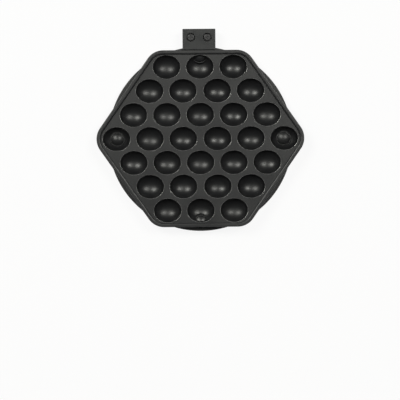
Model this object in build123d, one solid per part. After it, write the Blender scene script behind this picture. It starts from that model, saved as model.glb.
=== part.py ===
from build123d import *
import math
import os

os.makedirs("parts", exist_ok=True)

# Egg waffle pan: a hexagonal mould plate with 30 oval cups, on a round dish that holds the heater, with a
# half-round neck for the iron's arm. Millimetres. The two pointed ends lie along X, the neck points along -Y,
# Z is up. The origin is on the axis of the round dish, on the flat face that the pan rests on.

# Fits
nearly = 0.01            # places closer than this are the same place
touch_gap = 0.1          # between pieces that are pressed together but not joined
sliding_gap = 0.2        # around a piece that drops into its place
cast_gap = 0.4           # between two rough castings

# Mould plate: outline
end_margin = 16.64       # front and back sides, beyond the centres of the end rows' cups
side_margin = 19.9       # slanted sides, beyond the centres of the outermost cups
side_lean = 0.28         # degrees that a slanted side turns from the line of the rows' ends
tip_radius = 19.2        # rounding of the two pointed ends
corner_radius = 18.65    # rounding of the other four corners
plate_height = 9.0       # outer wall
rim_width = 4.2
rim_height = 2.2         # rim above the cooking face
web_thickness = 3.0      # under the cooking face
rim_rounding = 0.8       # outer edges of the rim
shoulder_radius = 1.5    # rounded inner edge of the rim

# Mould plate: cups, in rows of 3, 4, 5, 6, 5, 4 and 3
cups_in_row = (3, 4, 5, 6, 5, 4, 3)
cup_half_x = 14.1        # opening, with its rounded edge
cup_half_y = 12.22
cup_land = 5.16          # cooking face between two cups of a row
middle_land = 1.0        # more of it between the two middle cups of a row with an even count
row_nesting = 0.48       # the staggered rows draw together by this
cup_depth = 10.4
cup_wall = 2.1
cup_edge_radius = 0.45
edge_arc_end = 80.0      # the rounded edge stops just short of level

# Dish
dish_shelf = 4.08        # dish beyond the plate's front and back sides
dish_wall = 5.5
dish_floor = 2.0
dish_rounding = 4.0      # outer bottom edge
dish_inner_rounding = 3.0
heater_side_gap = 0.4    # least room between the heater's outer turns and the dish wall

# Screw bosses of the plate and seats of the dish
boss_inset = 9.1         # boss axis from the edge of the dish
boss_radius = 5.9
boss_crown_radius = 10.5  # domed top of a boss
boss_edge_rounding = 0.8
boss_rise = 6.2          # crown of a boss above the bottom of a cup
boss_skin = 2.4          # metal left above the blind hole
collar_radius = 7.3      # crest of the low collar around a boss
collar_rise = 3.2        # crest above the bottom of a cup
collar_slope = 1.2       # width of the collar's outer slope
groove_radius = 0.55     # half-round groove between a boss and its collar
seat_radius = 7.2
counterbore_depth = 2.6
counterbore_gap = 0.5

# Neck
neck_reach = 17.3        # end face beyond the edge of the dish
neck_offset = 0.7        # the neck lies this far off the middle
neck_half_width = 16.5
neck_drop = 2.0          # top of the neck below the rim
neck_side_height = 6.6   # upright part of the sides
neck_depth = 13.9
neck_wall = 3.0
neck_side_wall = 4.3
channel_floor_half = 7.0  # flat floor of the wiring channel
channel_slope = 3.0      # rise of its sloping lower sides
channel_skin = 2.0       # least metal between the channel's mouth and the dish edge
neck_cover_thickness = 4.4
neck_plug_depth = 1.0    # underside of the cover that drops into the neck
neck_screw_x = 8.25      # from the neck's centre line
neck_screw_inset = 8.5   # from the end face
neck_pillar_radius = 3.6
neck_edge_rounding = 0.6
recess_depth = 3.0

# Screws: shank radius, head radius and head height
dish_screw_radius = 2.0
dish_head_radius = 3.6
dish_head_height = 1.9
neck_screw_radius = 1.75
neck_head_radius = 3.5
neck_head_height = 1.9
small_screw_radius = 1.5
small_head_radius = 2.7
small_head_height = 1.7
recess_radius_gap = 1.0  # around a neck screw's head
washer_thickness = 0.5
washer_rim = 0.2         # washer wider than the screw head
hole_gap = 0.1           # hole radius over shank radius
cross_width = 0.8        # slot of a cross recess
cross_share = 0.7        # slot length over head diameter
cross_depth = 1.0
head_rounding_share = 0.4  # rounding of a screw head over its height
point_share = 0.25       # chamfer at a screw's end over its radius
neck_thread_depth = 5.0

# Heater
tube_radius = 2.8
tube_wall = 0.6
tube_turn = 8.0          # bend at the foot of each end
tube_end_reach = 0.45    # ends of the tube beyond the centres of the front row's cups
outer_turn_shift = 1.95  # centre of an outer turn beyond the centre of its cup
seal_length = 3.0
pin_radius = 1.0
pin_length = 7.0
sleeve_wall = 0.5
sleeve_length = 4.4
sleeve_start = 4.5       # from the tube's end

# Element clamps
post_radius = 3.2
clamp_width = 8.0
clamp_thickness = 0.6
clamp_flat_half = 5.0    # raised middle, half length
clamp_foot_half = 3.1    # foot over a run of the tube, half length
post_gap = 2.2           # foot of a post above the underside of the tube
clamp_thread_depth = 5.0

# Insulation
mica_thickness = 0.5
mica_gap = 0.1           # between the insulation and the clamps

# Leads and earth
lead_radius = 1.1
lead_turn = 1.9
lead_straight = 3.2      # straight run out of a crimp sleeve
lead_wall_gap = 2.5      # a lead's turn before the inner wall of the dish
lead_pad_gap = 0.8       # between a lead and the earth pad
lead_lift = 0.7          # rise of the leads over the bush's flange
bush_radius = 3.9
bush_bore_radius = 2.9
bush_flange = 0.7
bush_flange_height = 0.7
lead_circle_radius = 1.5  # the three leads around the bush axis
lead_fan = 60.0          # degrees of a power lead from the line of the neck, around the bush axis
lead_clearance = 0.25     # lead above the neck floor
earth_distance = 7.6      # earth screw from the bush
earth_pad_height = 0.8
earth_pad_radius = 3.0
lug_thickness = 0.8
lug_radius = 3.0
lug_reach = 3.0          # screw axis to the start of the barrel
lug_barrel_length = 1.4
lug_barrel_wall = 0.35
lug_bore_gap = 0.02      # crimped barrel around the wire
earth_lead_turn = 1.65
drop_step = 0.02         # fineness with which the heater's level is found

# Cups that follow: the hollow, its wall and the pattern
cup_half_ratio = cup_half_y / cup_half_x
bowl_half_x = cup_half_x - cup_edge_radius
bowl_half_y = bowl_half_x * cup_half_ratio
bowl_half_z = cup_depth - cup_edge_radius
dome_half_x = bowl_half_x + cup_wall
dome_half_y = bowl_half_y + cup_wall
dome_half_z = bowl_half_z + cup_wall
cup_pitch = 2 * cup_half_x + cup_land
middle_pitch = cup_pitch + middle_land
row_pitch = 2 * cup_half_y - row_nesting
lane = row_pitch / 2
row_reach = len(cups_in_row) // 2 * row_pitch
row_of_four_x = middle_pitch / 2 + cup_pitch
tip_cup_x = row_of_four_x + cup_pitch


def cup_places():
    """Centres of the 30 cups, row by row from the neck side."""
    places = []
    for row, count in enumerate(cups_in_row):
        y = (row - len(cups_in_row) // 2) * row_pitch
        for step in range(count):
            offset = step - (count - 1) / 2
            if count % 2:
                x = offset * cup_pitch
            else:
                x = math.copysign(middle_pitch / 2 + (abs(offset) - 0.5) * cup_pitch, offset)
            places.append((x, y))
    return places


def valley_drop():
    """Depth of the heater tube's axis below the bowls' centres, in the valley between two rows of cups."""
    reach = tube_radius + touch_gap
    drop = web_thickness - cup_edge_radius
    while True:
        nearest = min(
            math.hypot(lane - dome_half_y * math.cos(turn), drop - dome_half_z * math.sin(turn))
            for turn in [math.radians(degree / 4) for degree in range(360)]
        )
        inside = (lane / dome_half_y) ** 2 + (drop / dome_half_z) ** 2 < 1
        if nearest >= reach and not inside:
            return drop
        drop += drop_step


# Levels that follow, from the dish floor up through the heater to the rim
clamp_foot_level = dish_floor + mica_thickness + mica_gap
tube_level = clamp_foot_level + clamp_thickness + touch_gap + tube_radius
post_bottom = tube_level - tube_radius + post_gap
bowl_centre = tube_level + valley_drop()
land = bowl_centre + cup_edge_radius
web_bottom = land - web_thickness
cup_bottom = land - cup_depth
boss_top = cup_bottom + boss_rise
seat_height = cup_bottom - cup_wall - sliding_gap
rim_top = land + rim_height
dish_height = rim_top - plate_height
neck_top = rim_top - neck_drop
neck_bottom = neck_top - neck_depth
neck_split = neck_top - neck_cover_thickness
neck_floor = neck_bottom + neck_wall
plug_bottom = neck_split - neck_plug_depth

# Outline that follows, from the cups and the heater out to the end of the neck
side_angle = math.degrees(math.atan2(tip_cup_x - cup_pitch, row_reach)) - side_lean
side_turn = math.radians(side_angle)
side_distance = max(x * math.cos(side_turn) + y * math.sin(side_turn) for x, y in cup_places()) + side_margin
flat_distance = row_reach + end_margin
terminal_x = cup_pitch / 2
inner_turn_x = terminal_x + lane
middle_turn_x = (row_of_four_x + tip_cup_x) / 2 - lane
outer_turn_x = row_of_four_x + outer_turn_shift
heater_reach = math.hypot(outer_turn_x, 2 * row_pitch) + lane + tube_radius
dish_radius = max(flat_distance + dish_shelf, heater_reach + heater_side_gap + dish_wall)
dish_inner_radius = dish_radius - dish_wall
boss_circle_radius = dish_radius - boss_inset
neck_length = dish_radius + neck_reach
neck_back = flat_distance + sliding_gap
neck_left = neck_offset - neck_half_width
neck_right = neck_offset + neck_half_width
channel_half = neck_half_width - neck_side_wall
channel_left = neck_offset - channel_half
channel_right = neck_offset + channel_half
mouth_front = -math.sqrt((dish_radius - channel_skin) ** 2 - max(channel_right, -channel_left) ** 2)
tube_end_y = row_reach + tube_end_reach

# Places that follow
clamp_places = [(side * (middle_pitch + cup_pitch) / 2, row * 2 * row_pitch)
                for side in (-1, 1) for row in (-1, 0, 1)]
boss_places = [(boss_circle_radius, 0), (0, boss_circle_radius), (-boss_circle_radius, 0),
               (0, -boss_circle_radius)]
bossed_cups = [(tip_cup_x, 0), (0, row_reach), (-tip_cup_x, 0), (0, -row_reach)]
bush_y = neck_screw_inset - neck_length
neck_screw_places = [(neck_offset - neck_screw_x, bush_y), (neck_offset + neck_screw_x, bush_y)]
earth_y = bush_y + earth_distance


def at(solid, places, level=0.0):
    """Copies of a solid at each place."""
    return [Pos(x, y, level) * solid for x, y in places]


def rod(radius, low, high):
    """Upright cylinder on the axis between two levels."""
    return Pos(0, 0, low) * Cylinder(radius, high - low, align=(Align.CENTER, Align.CENTER, Align.MIN))


def slab(left, right, front, back, low, high):
    """Box between the given limits."""
    centre = ((left + right) / 2, (front + back) / 2, (low + high) / 2)
    return Pos(*centre) * Box(right - left, back - front, high - low)


def hexagon(inset):
    """The plate's outline, drawn in by an inset."""
    reach = side_distance - inset
    half = flat_distance - inset
    tip = reach / math.cos(side_turn)
    corner = (reach - half * math.sin(side_turn)) / math.cos(side_turn)
    points = [(tip, 0), (corner, half), (-corner, half), (-tip, 0), (-corner, -half), (corner, -half)]
    outline = make_face(Polyline(*points, close=True))
    tips = [v for v in outline.vertices() if abs(v.Y) < nearly]
    outline = fillet(tips, tip_radius - inset)
    corners = [v for v in outline.vertices()
               if abs(abs(v.Y) - half) < nearly and abs(abs(v.X) - corner) < nearly]
    return fillet(corners, corner_radius - inset)


def half_dome(half_x, half_y, half_z):
    """Lower half of an ellipsoid, centred on its flat top."""
    ball = Sphere(half_z, arc_size1=-90, arc_size2=0, align=None)
    return scale(ball, by=(half_x / half_z, half_y / half_z, 1))


def cup_cutter():
    """The hollow of one cup, with its rounded edge, from the bottom to above the cooking face."""
    end = math.radians(edge_arc_end)
    mouth = bowl_half_x + cup_edge_radius * (1 - math.cos(end))
    lip = cup_edge_radius * math.sin(end)
    middle = math.radians(edge_arc_end / 2)
    mid_point = (bowl_half_x + cup_edge_radius * (1 - math.cos(middle)), cup_edge_radius * math.sin(middle))
    above = cup_edge_radius + rim_height
    bowl = EllipticalCenterArc((0, 0), bowl_half_x, bowl_half_z, start_angle=-90, arc_size=90)
    edge = ThreePointArc((bowl_half_x, 0), mid_point, (mouth, lip))
    rest = Polyline((mouth, lip), (mouth, above), (0, above), (0, -bowl_half_z))
    profile = make_face(bowl + edge + rest)
    hollow = revolve(Plane.XZ * profile, Axis.Z)
    return scale(hollow, by=(1, cup_half_ratio, 1))


def boss_and_collar(place, cup_place):
    """Screw boss: a post whose domed end shows in a cup, and a low collar around it inside that cup."""
    crown = Pos(0, 0, boss_top - boss_crown_radius) * Sphere(boss_crown_radius)
    post = rod(boss_radius, seat_height, boss_top) & crown
    post = fillet(post.edges().filter_by(Plane.XY).sort_by(Axis.Z)[-1], boss_edge_rounding)
    limit = Pos(0, 0, seat_height) * extrude(hexagon(rim_width / 2), rim_top)
    crest = cup_bottom + collar_rise
    foot = cup_bottom + cup_wall / 2
    foot_radius = collar_radius + collar_slope
    corners = [(0, foot), (foot_radius, foot), (collar_radius, crest), (0, crest)]
    profile = make_face(Polyline(*corners, close=True))
    collar = revolve(Plane.XZ * profile, Axis.Z)
    collar -= Pos(0, 0, crest) * Torus(boss_radius + groove_radius, groove_radius)
    inside = Pos(*cup_place, bowl_centre) * half_dome(dome_half_x, dome_half_y, dome_half_z)
    return (Pos(*place) * post) & limit, (Pos(*place) * collar) & inside


def make_mould_plate():
    """Cast plate: hexagonal wall and rim, cooking face, 30 cups, four bosses and six clamp posts."""
    plate = Pos(0, 0, dish_height) * extrude(hexagon(0), plate_height)
    plate = fillet(plate.faces().sort_by(Axis.Z)[-1].edges(), rim_rounding)
    plate = fillet(plate.faces().sort_by(Axis.Z)[0].edges(), rim_rounding / 2)
    plate -= Pos(0, 0, land) * extrude(hexagon(rim_width), rim_height)
    inner_edge = plate.faces().sort_by(Axis.Z)[-1].inner_wires()[0]
    plate = fillet(inner_edge.edges(), shoulder_radius)
    pocket = Pos(0, 0, dish_height) * extrude(hexagon(rim_width), web_bottom - dish_height)
    plate -= pocket & rod(dish_inner_radius - rim_rounding, dish_height, web_bottom)
    domes = at(half_dome(dome_half_x, dome_half_y, dome_half_z), cup_places(), bowl_centre)
    posts = at(rod(post_radius, post_bottom, land - web_thickness / 2), clamp_places)
    plate = plate + domes + posts
    plate = plate - at(cup_cutter(), cup_places(), bowl_centre)
    for place, cup_place in zip(boss_places, bossed_cups):
        post, collar = boss_and_collar(place, cup_place)
        plate = plate + collar + post
    dish_holes = at(rod(dish_screw_radius + hole_gap, seat_height, boss_top - boss_skin), boss_places)
    thread_end = post_bottom + clamp_thread_depth + touch_gap
    clamp_holes = at(rod(small_screw_radius + hole_gap, post_bottom, thread_end), clamp_places)
    return plate - dish_holes - clamp_holes


def neck_section(half_width, depth, top):
    """Half-round section of the neck, upright sides over a round underside, in the XZ plane."""
    side = top - neck_side_height
    bottom = top - depth
    round_side = ThreePointArc((half_width, side), (0, bottom), (-half_width, side))
    rest = Polyline((-half_width, side), (-half_width, top), (half_width, top), (half_width, side))
    return Plane.XZ * make_face(round_side + rest)


def wiring_channel(front, back):
    """Hollow of the neck between two places along Y: a flat floor and sloping lower sides."""
    slope_top = neck_floor + channel_slope
    floor_left = neck_offset - channel_floor_half
    floor_right = neck_offset + channel_floor_half
    outline = Polyline((channel_left, plug_bottom), (channel_left, slope_top), (floor_left, neck_floor),
                       (floor_right, neck_floor), (channel_right, slope_top), (channel_right, plug_bottom),
                       close=True)
    return Pos(0, back, 0) * extrude(Plane.XZ * make_face(outline), back - front)


def make_heater_dish():
    """Cast round dish with the half-round neck, its wiring channel, screw seats and cable port."""
    dish = rod(dish_radius, 0, dish_height)
    dish = fillet(dish.edges().sort_by(Axis.Z)[0], dish_rounding)
    neck = Pos(neck_offset, 0, 0) * extrude(neck_section(neck_half_width, neck_depth, neck_top), neck_length)
    neck &= slab(neck_left, neck_right, -neck_length, -neck_back, 0, neck_split)
    hollow = rod(dish_inner_radius, dish_floor, dish_height)
    hollow = fillet(hollow.edges().sort_by(Axis.Z)[0], dish_inner_rounding)
    seats = at(rod(seat_radius, 0, seat_height), boss_places)
    dish = dish + neck - hollow
    dish += [seat & rod(dish_radius - dish_rounding, 0, dish_height) for seat in seats]
    channel_front = neck_wall - neck_length
    channel = wiring_channel(channel_front, mouth_front)
    seat_back = -neck_back - neck_wall
    plug_seat = slab(channel_left, channel_right, channel_front, seat_back, plug_bottom, neck_split)
    mouth_back = boss_radius - boss_circle_radius
    mouth = slab(channel_left, channel_right, mouth_front, mouth_back, neck_floor, plug_bottom)
    pillar = rod(neck_pillar_radius, neck_floor, plug_bottom)
    pillars = [placed & neck for placed in at(pillar, neck_screw_places)]
    pad = Pos(neck_offset, earth_y, 0) * rod(earth_pad_radius, neck_floor - neck_wall / 2,
                                             neck_floor + earth_pad_height)
    dish = dish - channel - plug_seat - mouth + pillars + pad
    scallop = half_dome(dome_half_x + cast_gap, dome_half_y + cast_gap, dome_half_z + cast_gap)
    dish -= at(scallop, [place for place in cup_places() if math.hypot(*place) > dish_radius - dome_half_x],
               bowl_centre)
    dish -= at(rod(boss_radius + cast_gap, seat_height, dish_height), boss_places)
    screw_holes = at(rod(dish_screw_radius + hole_gap, 0, seat_height), boss_places)
    counterbores = at(rod(dish_head_radius + counterbore_gap, 0, counterbore_depth), boss_places)
    dish = dish - screw_holes - counterbores
    neck_holes = at(rod(neck_screw_radius + hole_gap, plug_bottom - neck_thread_depth, plug_bottom),
                    neck_screw_places)
    port = Pos(neck_offset, bush_y, 0) * rod(bush_radius + touch_gap, 0, neck_floor)
    earth_hole = Pos(neck_offset, earth_y, 0) * rod(small_screw_radius + hole_gap, neck_floor - neck_wall / 2,
                                                    neck_floor + earth_pad_height)
    return dish - neck_holes - port - earth_hole


def make_neck_cover():
    """Flat top of the neck, with a plug under it and two recesses for its screws."""
    cover = slab(neck_left, neck_right, -neck_length, -neck_back, neck_split, neck_top)
    cover = fillet(cover.edges().filter_by(Axis.Z), neck_edge_rounding)
    cover = fillet(cover.faces().sort_by(Axis.Z)[-1].edges(), neck_edge_rounding)
    plug_front = neck_wall + sliding_gap - neck_length
    plug_back = -neck_back - neck_wall - sliding_gap
    cover += slab(channel_left + sliding_gap, channel_right - sliding_gap, plug_front, plug_back,
                  plug_bottom, neck_split)
    recess = rod(neck_head_radius + recess_radius_gap, neck_top - recess_depth, neck_top)
    recesses = at(recess, neck_screw_places)
    holes = at(rod(neck_screw_radius + hole_gap, plug_bottom, neck_top), neck_screw_places)
    return cover - recesses - holes


def screw(shank_radius, head_radius, head_height, length):
    """Round-headed cross-recess screw, head up, with the underside of its head at level 0."""
    head = rod(head_radius, 0, head_height)
    head = fillet(head.edges().sort_by(Axis.Z)[-1], head_height * head_rounding_share)
    cross_length = 2 * head_radius * cross_share
    blade = Pos(0, 0, head_height - cross_depth / 2) * Box(cross_length, cross_width, cross_depth)
    shank = rod(shank_radius, -length, 0)
    shank = chamfer(shank.edges().sort_by(Axis.Z)[0], shank_radius * point_share)
    return head + shank - blade - Rot(0, 0, 90) * blade


def washer(shank_radius, head_radius):
    """Plain washer with its underside at level 0."""
    disc = rod(head_radius + washer_rim, 0, washer_thickness)
    return disc - rod(shank_radius + hole_gap, 0, washer_thickness)


def tube_path(start_y):
    """Centre line of the heater tube, from one end to the other."""
    first = -5 * lane
    left = []
    left.append(Line((-terminal_x, start_y), (-terminal_x, first - tube_turn)))
    left.append(CenterArc((-terminal_x - tube_turn, first - tube_turn), tube_turn, 0, 90))
    left.append(Line((-terminal_x - tube_turn, first), (-outer_turn_x, first)))
    turns = [(-outer_turn_x, -4, 270, -180), (-inner_turn_x, -2, -90, 180), (-middle_turn_x, 0, 270, -180),
             (-inner_turn_x, 2, -90, 180), (-outer_turn_x, 4, 270, -180)]
    for index, (x, row, start, sweep_size) in enumerate(turns):
        left.append(CenterArc((x, row * lane), lane, start, sweep_size))
        next_x = turns[index + 1][0] if index + 1 < len(turns) else 0
        left.append(Line((x, (row + 1) * lane), (next_x, (row + 1) * lane)))
    wire = Wire(left)
    return Wire(wire.edges() + wire.mirror(Plane.YZ).edges())


def make_tube(outer, inner, start_y):
    """Round tube, or bar where inner is 0, along the heater's centre line."""
    path = Pos(0, 0, tube_level) * tube_path(start_y)
    section = Circle(outer) - Circle(inner) if inner else Circle(outer)
    return sweep(Plane((-terminal_x, start_y, tube_level), z_dir=(0, 1, 0)) * section, path)


def along_y(radius, inner, length):
    """Bar or ring along -Y from the origin."""
    bar = Rot(90, 0, 0) * rod(radius, 0, length)
    if inner:
        bar -= Rot(90, 0, 0) * rod(inner, 0, length)
    return bar


def at_terminals(solid, start):
    """One copy at each end of the heater, starting a distance out from the tube's end."""
    return [Pos(side * terminal_x, -tube_end_y - start, tube_level) * solid for side in (-1, 1)]


def make_clamp():
    """Sprung strap across two runs of the tube, raised in the middle to its post."""
    low = clamp_foot_level
    high = post_bottom - clamp_thickness
    foot_start = lane - clamp_foot_half
    foot_end = lane + clamp_foot_half
    lower = [(-foot_end, low), (-foot_start, low), (-clamp_flat_half, high),
             (clamp_flat_half, high), (foot_start, low), (foot_end, low)]
    upper = [(y, z + clamp_thickness) for y, z in reversed(lower)]
    profile = Plane.YZ * make_face(Polyline(*lower, *upper, close=True))
    strap = Pos(-clamp_width / 2, 0, 0) * extrude(profile, clamp_width)
    return strap - rod(small_screw_radius + hole_gap, low, post_bottom)


def make_mica_sheet():
    """Round insulating sheet on the dish floor, cut clear of the four screw seats."""
    radius = dish_inner_radius - dish_inner_rounding - sliding_gap
    sheet = rod(radius, dish_floor, dish_floor + mica_thickness)
    return sheet - at(rod(seat_radius + sliding_gap, dish_floor, seat_height), boss_places)


def make_bush():
    """Grommet in the neck's port, with a flange inside and a smaller lip outside."""
    top = neck_floor + bush_flange_height
    bottom = neck_bottom - bush_flange_height
    bush = rod(bush_radius, bottom, top)
    bush += rod(bush_radius + bush_flange, neck_floor, top)
    bush += rod(bush_radius + bush_flange, bottom, neck_bottom)
    bush -= rod(bush_bore_radius, bottom, top)
    return Pos(neck_offset, bush_y, 0) * bush


def lead(points):
    """Insulated wire along straight runs with rounded corners."""
    path = FilletPolyline(*points, radius=lead_turn)
    return sweep(Plane(path @ 0, z_dir=path % 0) * Circle(lead_radius), path)


def power_lead_points(side):
    """Route of the live (side -1) or neutral (side 1) lead, from its crimp sleeve to the bush."""
    run = neck_floor + lead_radius + lead_clearance
    start_y = -tube_end_y - pin_length - touch_gap
    mouth_x = neck_offset + side * (channel_half + channel_floor_half) / 2
    earth_x = neck_offset + side * (earth_pad_radius + lead_radius + lead_pad_gap)
    end_angle = math.radians(-90 + side * lead_fan)
    end_x = neck_offset + lead_circle_radius * math.cos(end_angle)
    end_y = bush_y + lead_circle_radius * math.sin(end_angle)
    return [
        (side * terminal_x, start_y, tube_level),
        (side * terminal_x, start_y - lead_straight, tube_level),
        (mouth_x, lead_wall_gap - dish_inner_radius, run),
        (earth_x, earth_y - lead_radius, run + lead_lift),
        (end_x, end_y, run + lead_lift),
        (end_x, end_y, neck_bottom - bush_flange_height),
    ]


def make_earth_lead():
    """Short earth wire from the lug's barrel down through the bush."""
    level = neck_floor + earth_pad_height + lug_barrel_wall + lead_radius
    start_y = earth_y - lug_reach - lug_barrel_length / 2
    end_y = bush_y + lead_circle_radius
    points = [(neck_offset, start_y, level), (neck_offset, end_y, level),
              (neck_offset, end_y, neck_bottom - bush_flange_height)]
    path = FilletPolyline(*points, radius=earth_lead_turn)
    return sweep(Plane(path @ 0, z_dir=path % 0) * Circle(lead_radius), path)


def make_earth_lug():
    """Ring lug: a flat eye under the earth screw and a crimped barrel over the wire."""
    base = neck_floor + earth_pad_height
    eye = rod(lug_radius, base, base + lug_thickness) + slab(-lug_radius / 2, lug_radius / 2, -lug_reach, 0,
                                                              base, base + lug_thickness)
    eye -= rod(small_screw_radius + hole_gap, base, base + lug_thickness)
    outer = lead_radius + lug_barrel_wall
    barrel = Pos(0, -lug_reach, base + outer) * along_y(outer, lead_radius + lug_bore_gap, lug_barrel_length)
    return Pos(neck_offset, earth_y, 0) * (eye + barrel)


parts = {
    "mould_plate": make_mould_plate(),
    "heater_dish": make_heater_dish(),
    "neck_cover": make_neck_cover(),
    "mica_sheet": make_mica_sheet(),
    "cable_bush": make_bush(),
    "element_sheath": make_tube(tube_radius, tube_radius - tube_wall, -tube_end_y),
}

# Screws and washers
dish_screw = screw(dish_screw_radius, dish_head_radius, dish_head_height,
                   boss_top - boss_skin - counterbore_depth - touch_gap)
head_level = counterbore_depth - washer_thickness
parts["dish_screws"] = Compound(at(Rot(180, 0, 0) * dish_screw, boss_places, head_level))
parts["dish_screw_washers"] = Compound(at(washer(dish_screw_radius, dish_head_radius), boss_places,
                                          head_level))
neck_recess = neck_top - recess_depth
neck_thread_end = plug_bottom - neck_thread_depth + touch_gap
neck_screw = screw(neck_screw_radius, neck_head_radius, neck_head_height,
                   neck_recess + washer_thickness - neck_thread_end)
parts["neck_screws"] = Compound(at(neck_screw, neck_screw_places, neck_recess + washer_thickness))
parts["neck_screw_washers"] = Compound(at(washer(neck_screw_radius, neck_head_radius), neck_screw_places,
                                          neck_recess))
clamp_level = post_bottom - clamp_thickness
clamp_screw = screw(small_screw_radius, small_head_radius, small_head_height,
                    clamp_thickness + clamp_thread_depth)
parts["element_clamps"] = Compound(at(make_clamp(), clamp_places))
parts["clamp_screws"] = Compound(at(Rot(180, 0, 0) * clamp_screw, clamp_places, clamp_level))

# Heater core and its ends
parts["element_core"] = make_tube(tube_radius - tube_wall - touch_gap, 0, -tube_end_y)
parts["element_seals"] = Compound(at_terminals(along_y(tube_radius, pin_radius + touch_gap, seal_length), 0))
parts["terminal_pins"] = Compound(at_terminals(along_y(pin_radius, 0, pin_length), 0))
sleeve_bore = max(pin_radius, lead_radius) + touch_gap
parts["crimp_sleeves"] = Compound(
    at_terminals(along_y(sleeve_bore + sleeve_wall, sleeve_bore, sleeve_length), sleeve_start))

# Leads and earth
parts["live_lead"] = lead(power_lead_points(-1))
parts["neutral_lead"] = lead(power_lead_points(1))
parts["earth_lead"] = make_earth_lead()
parts["earth_lug"] = make_earth_lug()
lug_top = neck_floor + earth_pad_height + lug_thickness
earth_screw = screw(small_screw_radius, small_head_radius, small_head_height,
                    washer_thickness + lug_thickness + earth_pad_height + neck_wall / 2 - touch_gap)
parts["earth_washer"] = Pos(neck_offset, earth_y, lug_top) * washer(small_screw_radius, small_head_radius)
parts["earth_screw"] = Pos(neck_offset, earth_y, lug_top + washer_thickness) * earth_screw

for name, solid in parts.items():
    export_step(solid, f"parts/{name}.step")
    print(name, len(solid.solids()), round(solid.volume, 1))
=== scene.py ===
import bpy
import math
from mathutils import Matrix, Vector


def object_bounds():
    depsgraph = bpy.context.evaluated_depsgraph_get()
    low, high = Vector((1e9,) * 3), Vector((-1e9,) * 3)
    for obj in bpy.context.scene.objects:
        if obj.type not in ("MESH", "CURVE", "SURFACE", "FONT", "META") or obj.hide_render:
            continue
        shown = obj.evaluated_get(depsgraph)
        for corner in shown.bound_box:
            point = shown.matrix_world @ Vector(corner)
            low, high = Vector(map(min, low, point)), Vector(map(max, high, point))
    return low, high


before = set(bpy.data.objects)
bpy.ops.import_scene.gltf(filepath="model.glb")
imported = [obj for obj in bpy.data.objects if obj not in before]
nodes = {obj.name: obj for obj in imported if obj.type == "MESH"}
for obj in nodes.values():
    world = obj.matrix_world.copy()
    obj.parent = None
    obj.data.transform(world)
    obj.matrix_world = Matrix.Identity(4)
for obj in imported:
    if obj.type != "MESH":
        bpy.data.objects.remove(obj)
cad_low, cad_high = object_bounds()


# Camera: straight above the pan, with the neck at the top of the picture, as in the photograph. The axis of
# the round dish falls where it does there, and the pan is turned as little.
picture_size = 400
dish_axis_pixel = (200.4, 138.45)
metres_per_pixel = 0.001
focal_pixels = 1910
sensor_width = 36
pan_turn = math.radians(0.43)

camera = bpy.data.objects.new("camera", bpy.data.cameras.new("camera"))
bpy.context.scene.collection.objects.link(camera)
bpy.context.scene.camera = camera
camera.data.sensor_width = sensor_width
camera.data.lens = sensor_width * focal_pixels / picture_size
across = (dish_axis_pixel[0] - picture_size / 2) * metres_per_pixel
up = (picture_size / 2 - dish_axis_pixel[1]) * metres_per_pixel
turned = Matrix.Rotation(math.pi - pan_turn, 3, "Z")
camera.location = turned @ Vector((-across, -up, 0))
camera.location.z = cad_high.z + focal_pixels * metres_per_pixel
camera.rotation_euler = turned.to_euler()
bpy.context.scene.view_settings.view_transform = "Standard"


# Floor: a round sheet of white paper that sweeps up to a low wall all round, so that every view has a white
# ground. Seen directly or in a reflection it is paper white, and it keeps a little of the pan's soft shadow.
floor_radius = 4.0
sweep_radius = 1.0
wall_height = 1.4
floor_sides = 96
sweep_steps = 8
paper_tone = (0.82, 0.82, 0.82, 1)
paper_roughness = 0.9
white_share = 0.9


def ring(radius, height, sides):
    """Points of a level circle round the Z axis."""
    turns = [2 * math.pi * side / sides for side in range(sides)]
    return [(radius * math.cos(turn), radius * math.sin(turn), height) for turn in turns]


flat_radius = floor_radius - sweep_radius
profile = [(flat_radius, 0)]
for step in range(1, sweep_steps + 1):
    bend = math.pi / 2 * step / sweep_steps
    profile.append((flat_radius + sweep_radius * math.sin(bend), sweep_radius * (1 - math.cos(bend))))
profile.append((floor_radius, wall_height))
points = [point for radius, height in profile for point in ring(radius, height, floor_sides)]
faces = [tuple(range(floor_sides))]
for band in range(len(profile) - 1):
    for side in range(floor_sides):
        here = band * floor_sides + side
        beside = band * floor_sides + (side + 1) % floor_sides
        faces.append((here, beside, beside + floor_sides, here + floor_sides))
floor_mesh = bpy.data.meshes.new("floor")
floor_mesh.from_pydata(points, [], faces)
floor = bpy.data.objects.new("floor", floor_mesh)
bpy.context.scene.collection.objects.link(floor)


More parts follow.
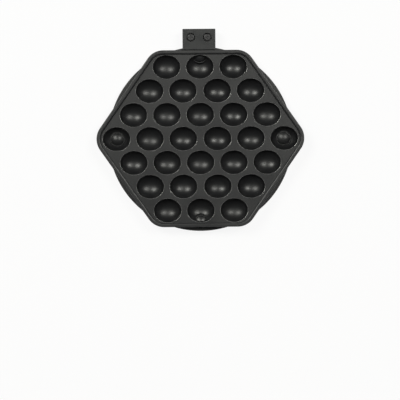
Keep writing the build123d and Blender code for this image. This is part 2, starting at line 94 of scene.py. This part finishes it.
def white_paper():
    """White paper: a plain sheet that takes shadows, and mostly even white where it is seen."""
    finish = bpy.data.materials.new("floor_paper")
    finish.use_nodes = True
    made = finish.node_tree.nodes
    links = finish.node_tree.links
    sheet = made["Principled BSDF"]
    sheet.inputs["Base Color"].default_value = paper_tone
    sheet.inputs["Roughness"].default_value = paper_roughness
    path = made.new("ShaderNodeLightPath")
    seen = made.new("ShaderNodeMath")
    seen.operation = "MAXIMUM"
    links.new(path.outputs["Is Camera Ray"], seen.inputs[0])
    links.new(path.outputs["Is Glossy Ray"], seen.inputs[1])
    seen_through = made.new("ShaderNodeMath")
    seen_through.operation = "MAXIMUM"
    links.new(seen.outputs[0], seen_through.inputs[0])
    links.new(path.outputs["Is Transmission Ray"], seen_through.inputs[1])
    share = made.new("ShaderNodeMath")
    share.operation = "MULTIPLY"
    share.inputs[1].default_value = white_share
    links.new(seen_through.outputs[0], share.inputs[0])
    blend = made.new("ShaderNodeMixShader")
    links.new(share.outputs[0], blend.inputs[0])
    links.new(sheet.outputs[0], blend.inputs[1])
    links.new(made.new("ShaderNodeEmission").outputs[0], blend.inputs[2])
    links.new(blend.outputs[0], made["Material Output"].inputs[0])
    return finish


floor_mesh.materials.append(white_paper())


# Lights: two soft boxes on the neck side, left and right, whose reflections lie side by side in every cup,
# and a wide weak one overhead that gives the level faces their even grey. The room itself is dim.
box_distance = 2.4
box_front = (0.60, 0.84)
left_direction = (0.421, -0.350, 0.837)
left_watts = 33
right_direction = (-0.391, -0.281, 0.876)
right_watts = 27
overhead_direction = (0, 0, 1)
overhead_front = (1.6, 1.6)
overhead_watts = 1.55
warm_white = (1, 1, 0.94)
cool_white = (0.98, 1, 1)
room_tone = (1, 1, 1, 1)
room_strength = 0.07


def soft_box(name, direction, front, watts, tint):
    """A rectangular lamp with a tinted white front, aimed at the pan from a direction."""
    lamp = bpy.data.lights.new(name, "AREA")
    lamp.shape = "RECTANGLE"
    lamp.size, lamp.size_y = front
    lamp.energy = watts
    lamp.color = tint
    box = bpy.data.objects.new(name, lamp)
    box.location = Vector(direction).normalized() * box_distance
    box.rotation_euler = (-Vector(direction)).to_track_quat("-Z", "Y").to_euler()
    box.visible_camera = False
    bpy.context.scene.collection.objects.link(box)


soft_box("soft_box_left", left_direction, box_front, left_watts, warm_white)
soft_box("soft_box_right", right_direction, box_front, right_watts, warm_white)
soft_box("soft_box_above", overhead_direction, overhead_front, overhead_watts, cool_white)
room = bpy.data.worlds.new("room")
bpy.context.scene.world = room
room.use_nodes = True
room.node_tree.nodes["Background"].inputs["Color"].default_value = room_tone
room.node_tree.nodes["Background"].inputs["Strength"].default_value = room_strength


# Mould plate: gravity-cast aluminium with a baked black non-stick coat. The coat is satin with a fine orange
# peel, and it is thin on the rounded lips of the cups, where cleaning has burnished it to the metal. The pale
# metal laid on the up-facing lips is also a painted highlight, which stands in for the soft boxes'
# reflection.
rim_height = 0.0022
lip_radius = 0.00045
coat_deep = (0.0060, 0.0062, 0.0068)
coat_pale = (0.0120, 0.0124, 0.0134)
coat_roughness = (0.33, 0.42)
coat_clouds = 0.03
coat_peel = 0.0007
coat_peel_depth = 0.00002
# Pale metal for the lips: burnish wear, and a painted highlight that stands in for the soft boxes'
# reflection.
lip_metal_and_highlight = (0.55, 0.55, 0.54, 1)
lip_mark_start_radii = (0.4, 0.15)
lip_mark_end_radii = (0.010, 0.004)
lip_mark_facing = (0.1, 0.4)
lip_mark_patches = 0.004
lip_mark_wear = (0.7, 1)
metal_from_lip_mark = 0.25
noise_middle = (0.3, 0.7)
noise_core = (0.35, 0.65)
none_to_all = (0, 1)
all_to_none = (1, 0)
fine_detail = 3
share_socket = 0
under_socket = 6
top_socket = 7
laid_socket = 2


def start_finish(name):
    """A new material: itself, its nodes, its links, its shader and the place on the piece in metres."""
    finish = bpy.data.materials.new(name)
    finish.use_nodes = True
    made = finish.node_tree.nodes
    place = made.new("ShaderNodeTexCoord").outputs["Object"]
    return finish, made, finish.node_tree.links, made["Principled BSDF"], place


def lumps(made, links, place, size, detail=fine_detail, stretch=(1, 1, 1)):
    """Noise with lumps of about the given size in metres, drawn out along an axis by a stretch."""
    shaped = made.new("ShaderNodeMapping")
    shaped.inputs["Scale"].default_value = [1 / (size * factor) for factor in stretch]
    links.new(place, shaped.inputs["Vector"])
    noise = made.new("ShaderNodeTexNoise")
    noise.inputs["Scale"].default_value = 1
    noise.inputs["Detail"].default_value = detail
    links.new(shaped.outputs["Vector"], noise.inputs["Vector"])
    return noise.outputs["Fac"]


def span(made, links, value, result, source=noise_middle):
    """Carries a value from its own range to another, and stops at the ends."""
    carried = made.new("ShaderNodeMapRange")
    carried.inputs["From Min"].default_value = source[0]
    carried.inputs["From Max"].default_value = source[1]
    carried.inputs["To Min"].default_value = result[0]
    carried.inputs["To Max"].default_value = result[1]
    links.new(value, carried.inputs["Value"])
    return carried.outputs["Result"]


def times(made, links, first, second):
    """Product of two values."""
    product = made.new("ShaderNodeMath")
    product.operation = "MULTIPLY"
    links.new(first, product.inputs[0])
    links.new(second, product.inputs[1])
    return product.outputs[0]


def upright(made, links, vector):
    """The part of a vector along the Z axis."""
    parted = made.new("ShaderNodeSeparateXYZ")
    links.new(vector, parted.inputs["Vector"])
    return parted.outputs["Z"]


def tones(made, links, value, deep, pale, source=noise_core):
    """Colour that goes from deep to pale with a value."""
    colours = made.new("ShaderNodeValToRGB")
    colours.color_ramp.elements[0].position = source[0]
    colours.color_ramp.elements[0].color = (*deep, 1)
    colours.color_ramp.elements[1].position = source[1]
    colours.color_ramp.elements[1].color = (*pale, 1)
    links.new(value, colours.inputs["Fac"])
    return colours.outputs["Color"]


def over(made, links, share, under, top):
    """A plain colour laid over another by a share."""
    laid = made.new("ShaderNodeMix")
    laid.data_type = "RGBA"
    laid.inputs[top_socket].default_value = top
    links.new(share, laid.inputs[share_socket])
    links.new(under, laid.inputs[under_socket])
    return laid.outputs[laid_socket]


def relief(made, links, skin, height, depth):
    """Bumps of the given depth in metres."""
    bump = made.new("ShaderNodeBump")
    bump.inputs["Strength"].default_value = 1
    bump.inputs["Distance"].default_value = depth
    links.new(height, bump.inputs["Height"])
    links.new(bump.outputs["Normal"], skin.inputs["Normal"])


def dress(names, finish):
    """Gives carried-over solids their finish."""
    for name in names:
        mesh = nodes[name].data
        mesh.materials.clear()
        mesh.materials.append(finish)


def burnish_and_highlight(made, links, place):
    """How far the lips of the cups are burnished and carry a painted highlight: just under the plate's face,
    where they look up.
    """
    land = cad_high.z - rim_height
    height = upright(made, links, place)
    start = [land - radii * lip_radius for radii in lip_mark_start_radii]
    end = [land - radii * lip_radius for radii in lip_mark_end_radii]
    above_start = span(made, links, height, none_to_all, start)
    below_end = span(made, links, height, all_to_none, end)
    on_lip = times(made, links, above_start, below_end)
    facing = upright(made, links, made.new("ShaderNodeNewGeometry").outputs["Normal"])
    looking_up = span(made, links, facing, none_to_all, lip_mark_facing)
    worn = span(made, links, lumps(made, links, place, lip_mark_patches), lip_mark_wear)
    return times(made, links, on_lip, times(made, links, looking_up, worn))


def plate_coat():
    """Non-stick coat of the plate, with burnish wear and a painted highlight on the cups' lips."""
    finish, made, links, skin, place = start_finish("plate_coat")
    peel = lumps(made, links, place, coat_peel)
    burnish_and_highlight_share = burnish_and_highlight(made, links, place)
    coat = tones(made, links, peel, coat_deep, coat_pale)
    # Pale metal laid over the coat on the lips: burnish wear and a painted highlight.
    links.new(over(made, links, burnish_and_highlight_share, coat, lip_metal_and_highlight), skin.inputs["Base Color"])
    metal = span(made, links, burnish_and_highlight_share, none_to_all, (0, metal_from_lip_mark))
    links.new(metal, skin.inputs["Metallic"])
    clouds = lumps(made, links, place, coat_clouds)
    links.new(span(made, links, clouds, coat_roughness), skin.inputs["Roughness"])
    relief(made, links, skin, peel, coat_peel_depth)
    return finish


dress(["mould_plate"], plate_coat())


# Heater dish: the round casting under the plate, with the half-round neck. The same coat over a skin that was
# left as it came from the mould, so it is a little rougher and more uneven than the plate's.
dish_grain = 0.0011
dish_grain_detail = 5
dish_grain_depth = 0.00004
dish_clouds = 0.02
dish_roughness = (0.38, 0.50)


def dish_coat():
    """Non-stick coat over the rough skin of a casting."""
    finish, made, links, skin, place = start_finish("dish_coat")
    grain = lumps(made, links, place, dish_grain, dish_grain_detail)
    links.new(tones(made, links, grain, coat_deep, coat_pale), skin.inputs["Base Color"])
    clouds = lumps(made, links, place, dish_clouds)
    links.new(span(made, links, clouds, dish_roughness), skin.inputs["Roughness"])
    relief(made, links, skin, grain, dish_grain_depth)
    return finish


dress(["heater_dish"], dish_coat())


# Neck cover: the flat top of the neck, cast apart and milled level before it was coated, so fine lines from
# the cutter still show through the coat along its length.
cover_deep = (0.0035, 0.0045, 0.0050)
cover_pale = (0.0070, 0.0085, 0.0095)
cover_clouds = 0.008
cutter_line = 0.0005
cutter_stretch = (1, 30, 1)
cutter_detail = 2
cutter_depth = 0.00001


def cover_coat():
    """Non-stick coat over a milled face."""
    finish, made, links, skin, place = start_finish("cover_coat")
    cutter = lumps(made, links, place, cutter_line, cutter_detail, cutter_stretch)
    links.new(tones(made, links, cutter, cover_deep, cover_pale), skin.inputs["Base Color"])
    clouds = lumps(made, links, place, cover_clouds)
    links.new(span(made, links, clouds, coat_roughness), skin.inputs["Roughness"])
    relief(made, links, skin, cutter, cutter_depth)
    return finish


dress(["neck_cover"], cover_coat())


# Neck screws and their spring washers: blackened steel, sunk in the two round recesses of the cover. The
# driver has rubbed the black away a little round the cross.
black_deep = (0.012, 0.012, 0.013)
black_pale = (0.040, 0.040, 0.042)
black_rub = 0.0012
black_rub_detail = 4
black_rub_metal = (0.0, 0.4)
black_rub_depth = 0.00001
black_speckle = 0.0006
black_roughness = (0.32, 0.5)


def black_screw():
    """Blackened steel, rubbed in patches."""
    finish, made, links, skin, place = start_finish("black_screw")
    rubbed = lumps(made, links, place, black_rub, black_rub_detail)
    links.new(tones(made, links, rubbed, black_deep, black_pale), skin.inputs["Base Color"])
    links.new(span(made, links, rubbed, black_rub_metal), skin.inputs["Metallic"])
    speckle = lumps(made, links, place, black_speckle)
    links.new(span(made, links, speckle, black_roughness), skin.inputs["Roughness"])
    relief(made, links, skin, rubbed, black_rub_depth)
    return finish


dress(["neck_screws", "neck_screw_washers"], black_screw())


# Dish screws with their washers, and the small screws inside: zinc-plated steel with a cloudy passivated
# skin. The terminal pins of the heater are plated alike.
zinc_deep = (0.42, 0.42, 0.43)
zinc_pale = (0.62, 0.62, 0.60)
zinc_clouds = 0.0015
zinc_clouds_detail = 4
zinc_roughness = (0.28, 0.46)
zinc_line = 0.0004
zinc_line_stretch = (6, 1, 1)
zinc_line_detail = 2
zinc_line_depth = 0.000008


def zinc_plate():
    """Zinc plating: pale, cloudy, with fine drawn lines."""
    finish, made, links, skin, place = start_finish("zinc_plate")
    clouds = lumps(made, links, place, zinc_clouds, zinc_clouds_detail)
    links.new(tones(made, links, clouds, zinc_deep, zinc_pale), skin.inputs["Base Color"])
    links.new(span(made, links, clouds, zinc_roughness), skin.inputs["Roughness"])
    skin.inputs["Metallic"].default_value = 1
    drawn = lumps(made, links, place, zinc_line, zinc_line_detail, zinc_line_stretch)
    relief(made, links, skin, drawn, zinc_line_depth)
    return finish


dress(["dish_screws", "dish_screw_washers", "clamp_screws", "earth_screw", "earth_washer", "terminal_pins"],
      zinc_plate())


# Element clamps: straps pressed from spring steel strip, which hold the heater tube in the valleys of the
# plate. Rolling has left lines along the strip, and the heat has browned it.
strip_brown = (0.30, 0.25, 0.20)
strip_bright = (0.50, 0.49, 0.47)
strip_browning = 0.006
strip_browning_detail = 4
rolled_line = 0.0003
rolled_stretch = (1, 25, 1)
rolled_detail = 2
rolled_depth = 0.000008
strip_roughness = (0.25, 0.42)


def spring_strip():
    """Rolled steel strip, browned by heat."""
    finish, made, links, skin, place = start_finish("spring_strip")
    browned = lumps(made, links, place, strip_browning, strip_browning_detail)
    links.new(tones(made, links, browned, strip_brown, strip_bright), skin.inputs["Base Color"])
    rolled = lumps(made, links, place, rolled_line, rolled_detail, rolled_stretch)
    links.new(span(made, links, rolled, strip_roughness), skin.inputs["Roughness"])
    skin.inputs["Metallic"].default_value = 1
    relief(made, links, skin, rolled, rolled_depth)
    return finish


dress(["element_clamps"], spring_strip())


# Heater: a stainless tube swept through the valleys between the rows of cups, packed with oxide round its
# winding, and closed at both ends by ceramic seals. Annealing has coloured the tube from straw to blue.
tube_blue = (0.13, 0.12, 0.16)
tube_straw = (0.42, 0.35, 0.26)
heat_band = 0.018
heat_band_detail = 2
drawn_line = 0.0005
drawn_stretch = (12, 1, 1)
drawn_depth = 0.00001
tube_roughness = (0.26, 0.44)
oxide_deep = (0.60, 0.58, 0.53)
oxide_pale = (0.82, 0.80, 0.76)
oxide_grain = 0.0004
seal_deep = (0.66, 0.63, 0.55)
seal_pale = (0.86, 0.84, 0.78)
seal_grain = 0.0009
ceramic_detail = 5
ceramic_roughness = (0.9, 0.7)
grain_to_depth = 20


def annealed_tube():
    """Stainless steel with heat colours in bands along the runs."""
    finish, made, links, skin, place = start_finish("annealed_tube")
    heat = lumps(made, links, place, heat_band, heat_band_detail)
    links.new(tones(made, links, heat, tube_blue, tube_straw), skin.inputs["Base Color"])
    drawn = lumps(made, links, place, drawn_line, fine_detail, drawn_stretch)
    links.new(span(made, links, drawn, tube_roughness), skin.inputs["Roughness"])
    skin.inputs["Metallic"].default_value = 1
    relief(made, links, skin, drawn, drawn_depth)
    return finish


def fired_ceramic(name, deep, pale, grain):
    """Unglazed ceramic: matt, with pores and stains."""
    finish, made, links, skin, place = start_finish(name)
    pores = lumps(made, links, place, grain, ceramic_detail)
    links.new(tones(made, links, pores, deep, pale), skin.inputs["Base Color"])
    links.new(span(made, links, pores, ceramic_roughness), skin.inputs["Roughness"])
    relief(made, links, skin, pores, grain / grain_to_depth)
    return finish


dress(["element_sheath"], annealed_tube())
dress(["element_core"], fired_ceramic("packed_oxide", oxide_deep, oxide_pale, oxide_grain))
dress(["element_seals"], fired_ceramic("ceramic_seal", seal_deep, seal_pale, seal_grain))


# Mica sheet: pressed flakes of mica on the floor of the dish, which keep the heater from the casting. The
# flakes overlap, each with its own tone and gloss.
mica_deep = (0.36, 0.28, 0.17)
mica_pale = (0.68, 0.58, 0.42)
mica_roughness = (0.22, 0.5)
flakes_per_metre = 260
flake_depth = 0.00003


def pressed_mica():
    """Overlapping mica flakes."""
    finish, made, links, skin, place = start_finish("pressed_mica")
    flakes = made.new("ShaderNodeTexVoronoi")
    flakes.inputs["Scale"].default_value = flakes_per_metre
    links.new(place, flakes.inputs["Vector"])
    flake = made.new("ShaderNodeSeparateColor")
    links.new(flakes.outputs["Color"], flake.inputs["Color"])
    tone = tones(made, links, flake.outputs["Red"], mica_deep, mica_pale, none_to_all)
    links.new(tone, skin.inputs["Base Color"])
    gloss = span(made, links, flake.outputs["Green"], mica_roughness, none_to_all)
    links.new(gloss, skin.inputs["Roughness"])
    relief(made, links, skin, flakes.outputs["Distance"], flake_depth)
    return finish


dress(["mica_sheet"], pressed_mica())


# Crimp sleeves and earth lug: tinned brass, squeezed on the wires by the crimping tool, which leaves ridges
# across them. The tin has worn through to the brass in spots.
worn_brass = (0.58, 0.46, 0.26)
bright_tin = (0.70, 0.69, 0.65)
tin_wear = 0.001
tin_wear_detail = 4
tin_wear_range = (0.30, 0.45)
tin_roughness = (0.34, 0.2)
crimp_ridge_scale = 500
crimp_ridge_depth = 0.00003


def bands(made, links, place, direction, scale, wander=0):
    """Regular bands across a direction, which may wander."""
    wave = made.new("ShaderNodeTexWave")
    wave.bands_direction = direction
    wave.inputs["Scale"].default_value = scale
    wave.inputs["Distortion"].default_value = wander
    links.new(place, wave.inputs["Vector"])
    return wave.outputs["Fac"]


def tinned_brass():
    """Tin plating worn to the brass, with the tool's ridges."""
    finish, made, links, skin, place = start_finish("tinned_brass")
    worn = lumps(made, links, place, tin_wear, tin_wear_detail)
    links.new(tones(made, links, worn, worn_brass, bright_tin, tin_wear_range), skin.inputs["Base Color"])
    links.new(span(made, links, worn, tin_roughness), skin.inputs["Roughness"])
    skin.inputs["Metallic"].default_value = 1
    relief(made, links, skin, bands(made, links, place, "Y", crimp_ridge_scale), crimp_ridge_depth)
    return finish


dress(["crimp_sleeves", "earth_lug"], tinned_brass())


# Leads and bush: silicone rubber. Brown and blue leads bring the current through the neck, and a green one
# with a yellow stripe earths the casting. The black bush lines the port where they leave it.
lead_brown = [(0.10, 0.045, 0.022), (0.17, 0.08, 0.045)]
lead_blue = [(0.02, 0.07, 0.24), (0.05, 0.13, 0.36)]
bush_black = [(0.012, 0.012, 0.012), (0.028, 0.028, 0.028)]
earth_green = (0.03, 0.22, 0.05)
earth_yellow = (0.66, 0.56, 0.05)
stripe_scale = 90
stripe_wander = 0.6
stripe_edge = (0.45, 0.55)
bloom_size = 0.0015
bloom_detail = 4
silicone_roughness = (0.42, 0.62)
silicone_grain = 0.0004
silicone_depth = 0.00001


def silicone(name, deep, pale):
    """Silicone rubber: satin, with a dusty bloom."""
    finish, made, links, skin, place = start_finish(name)
    bloom = lumps(made, links, place, bloom_size, bloom_detail)
    links.new(tones(made, links, bloom, deep, pale), skin.inputs["Base Color"])
    links.new(span(made, links, bloom, silicone_roughness), skin.inputs["Roughness"])
    relief(made, links, skin, lumps(made, links, place, silicone_grain), silicone_depth)
    return finish


def striped_sleeve():
    """Green silicone with a yellow stripe wound along the wire."""
    finish, made, links, skin, place = start_finish("earth_sleeve")
    stripes = bands(made, links, place, "DIAGONAL", stripe_scale, stripe_wander)
    links.new(tones(made, links, stripes, earth_green, earth_yellow, stripe_edge), skin.inputs["Base Color"])
    bloom = lumps(made, links, place, bloom_size, bloom_detail)
    links.new(span(made, links, bloom, silicone_roughness), skin.inputs["Roughness"])
    relief(made, links, skin, bloom, silicone_depth)
    return finish


dress(["live_lead"], silicone("brown_lead", *lead_brown))
dress(["neutral_lead"], silicone("blue_lead", *lead_blue))
dress(["earth_lead"], striped_sleeve())
dress(["cable_bush"], silicone("bush_rubber", *bush_black))
